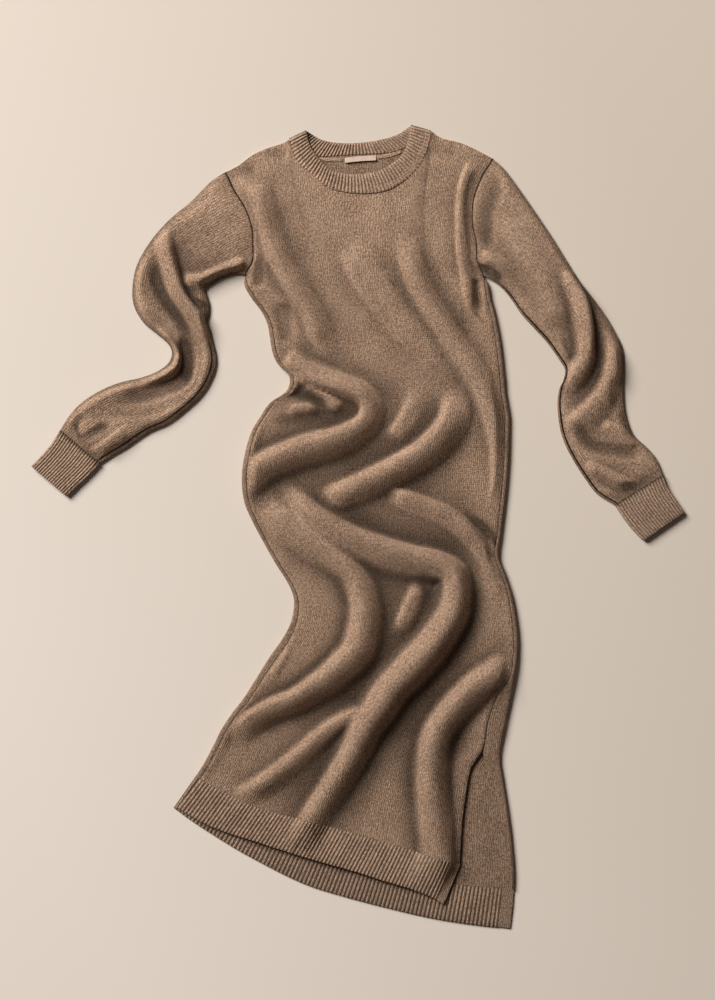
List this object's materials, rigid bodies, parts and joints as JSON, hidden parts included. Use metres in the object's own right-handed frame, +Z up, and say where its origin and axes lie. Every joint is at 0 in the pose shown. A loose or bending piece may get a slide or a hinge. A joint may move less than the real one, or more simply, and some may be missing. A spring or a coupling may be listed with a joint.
{
  "type": "sweater dress",
  "caption": "Long-sleeved knitted midi sweater dress with ribbed crew neck, cuffs and hem band and a side slit, laid flat with its skirt gathered into soft folds.",
  "frame": {"origin": "on the table under the centre of the bounding box", "axes": "+X to the viewer's right (the wearer's left), +Y from hem to neck, +Z up from the table through the front"},
  "size_m": [0.978, 1.2049, 0.0409],
  "materials": {
    "knit": "soft plain-knit wool blend, taupe brown, slightly heathered, matt with a faint fuzz",
    "rib": "knitted rib in the same yarn, matt",
    "label": "plain woven satin tape, pale pinkish beige, blank"
  },
  "bodies": {
    "root": {"front_panel": "knit", "back_panel": "knit", "sleeve_left_of_view": "knit", "sleeve_right_of_view": "knit", "cuff_left_of_view": "rib", "cuff_right_of_view": "rib", "neckband": "rib", "hem_band_front": "rib", "hem_band_back": "rib", "neck_label": "label"}
  },
  "joints": []
}
